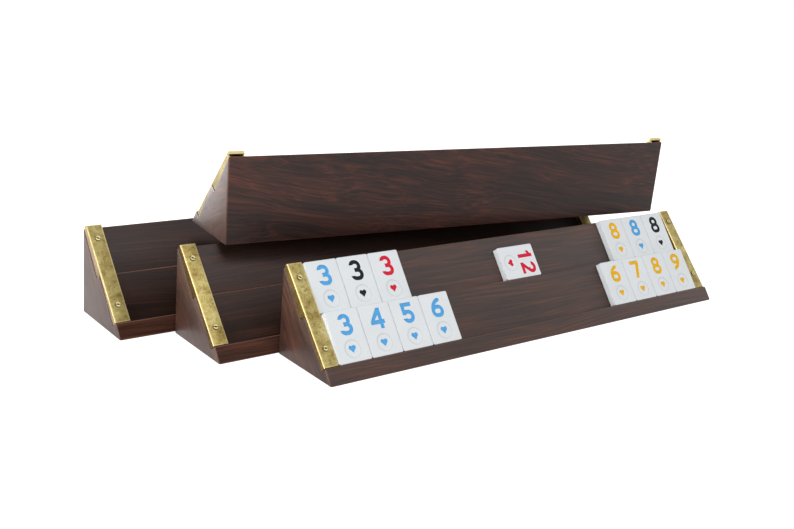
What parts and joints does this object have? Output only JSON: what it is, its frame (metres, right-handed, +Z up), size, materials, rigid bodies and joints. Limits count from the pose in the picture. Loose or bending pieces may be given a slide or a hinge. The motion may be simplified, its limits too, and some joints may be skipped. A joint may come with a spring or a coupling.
{
  "type": "tile rack set",
  "caption": "Two-tier walnut tile racks with aged brass end channels, stacked on a surface, one holding white numbered tiles.",
  "frame": {"origin": "middle of the base of the middle rack, on the surface it stands on", "axes": "+X along the racks to the right as seen from the front, -Y towards the front of the three standing racks, +Z up"},
  "size_m": [0.4419, 0.1738, 0.1187],
  "materials": {
    "walnut": "dark walnut stain, satin lacquer",
    "aged_brass": "aged, mottled, worn bright at the edges",
    "screw_brass": "worn round screw heads with dark slots",
    "tile_white": "white melamine with engraved painted numerals"
  },
  "bodies": {
    "middle_rack": {"wood_middle": "walnut", "channel_left_middle": "aged_brass", "channel_right_middle": "aged_brass", "screws_middle": "screw_brass"},
    "front_rack": {"wood_front": "walnut", "channel_left_front": "aged_brass", "channel_right_front": "aged_brass", "screws_front": "screw_brass"},
    "rear_rack": {"wood_rear": "walnut", "channel_left_rear": "aged_brass", "channel_right_rear": "aged_brass", "screws_rear": "screw_brass"},
    "top_rack": {"wood_top": "walnut", "channel_left_top": "aged_brass", "channel_right_top": "aged_brass", "screws_top": "screw_brass"},
    "piece_low_l1": {"tile_low_l1": "tile_white"},
    "piece_low_l2": {"tile_low_l2": "tile_white"},
    "piece_low_l3": {"tile_low_l3": "tile_white"},
    "piece_low_l4": {"tile_low_l4": "tile_white"},
    "piece_up_l1": {"tile_up_l1": "tile_white"},
    "piece_up_l2": {"tile_up_l2": "tile_white"},
    "piece_up_l3": {"tile_up_l3": "tile_white"},
    "piece_low_r1": {"tile_low_r1": "tile_white"},
    "piece_low_r2": {"tile_low_r2": "tile_white"},
    "piece_low_r3": {"tile_low_r3": "tile_white"},
    "piece_low_r4": {"tile_low_r4": "tile_white"},
    "piece_up_r1": {"tile_up_r1": "tile_white"},
    "piece_up_r2": {"tile_up_r2": "tile_white"},
    "piece_up_r3": {"tile_up_r3": "tile_white"},
    "piece_flat": {"tile_flat": "tile_white"}
  },
  "joints": [
    {"name": "front_rack_slide", "type": "slide", "parent": "middle_rack", "child": "front_rack", "axis": [0, -1, 0], "range_m": [0, 0.15]},
    {"name": "rear_rack_slide", "type": "slide", "parent": "middle_rack", "child": "rear_rack", "axis": [0, 1, 0], "range_m": [0, 0.15]},
    {"name": "top_rack_lift", "type": "slide", "parent": "middle_rack", "child": "top_rack", "axis": [0, 0, 1], "range_m": [0, 0.12]},
    {"name": "tile_low_l1_lift", "type": "slide", "parent": "front_rack", "child": "piece_low_l1", "axis": [0, -0.788, 0.6157], "range_m": [0, 0.03]},
    {"name": "tile_low_l2_lift", "type": "slide", "parent": "front_rack", "child": "piece_low_l2", "axis": [0, -0.788, 0.6157], "range_m": [0, 0.03]},
    {"name": "tile_low_l3_lift", "type": "slide", "parent": "front_rack", "child": "piece_low_l3", "axis": [0, -0.788, 0.6157], "range_m": [0, 0.03]},
    {"name": "tile_low_l4_lift", "type": "slide", "parent": "front_rack", "child": "piece_low_l4", "axis": [0, -0.788, 0.6157], "range_m": [0, 0.03]},
    {"name": "tile_up_l1_lift", "type": "slide", "parent": "front_rack", "child": "piece_up_l1", "axis": [0, -0.788, 0.6157], "range_m": [0, 0.03]},
    {"name": "tile_up_l2_lift", "type": "slide", "parent": "front_rack", "child": "piece_up_l2", "axis": [0, -0.788, 0.6157], "range_m": [0, 0.03]},
    {"name": "tile_up_l3_lift", "type": "slide", "parent": "front_rack", "child": "piece_up_l3", "axis": [0, -0.788, 0.6157], "range_m": [0, 0.03]},
    {"name": "tile_low_r1_lift", "type": "slide", "parent": "front_rack", "child": "piece_low_r1", "axis": [0, -0.788, 0.6157], "range_m": [0, 0.03]},
    {"name": "tile_low_r2_lift", "type": "slide", "parent": "front_rack", "child": "piece_low_r2", "axis": [0, -0.788, 0.6157], "range_m": [0, 0.03]},
    {"name": "tile_low_r3_lift", "type": "slide", "parent": "front_rack", "child": "piece_low_r3", "axis": [0, -0.788, 0.6157], "range_m": [0, 0.03]},
    {"name": "tile_low_r4_lift", "type": "slide", "parent": "front_rack", "child": "piece_low_r4", "axis": [0, -0.788, 0.6157], "range_m": [0, 0.03]},
    {"name": "tile_up_r1_lift", "type": "slide", "parent": "front_rack", "child": "piece_up_r1", "axis": [0, -0.788, 0.6157], "range_m": [0, 0.03]},
    {"name": "tile_up_r2_lift", "type": "slide", "parent": "front_rack", "child": "piece_up_r2", "axis": [0, -0.788, 0.6157], "range_m": [0, 0.03]},
    {"name": "tile_up_r3_lift", "type": "slide", "parent": "front_rack", "child": "piece_up_r3", "axis": [0, -0.788, 0.6157], "range_m": [0, 0.03]},
    {"name": "tile_flat_lift", "type": "slide", "parent": "front_rack", "child": "piece_flat", "axis": [0, -0.788, 0.6157], "range_m": [0, 0.03]}
  ]
}
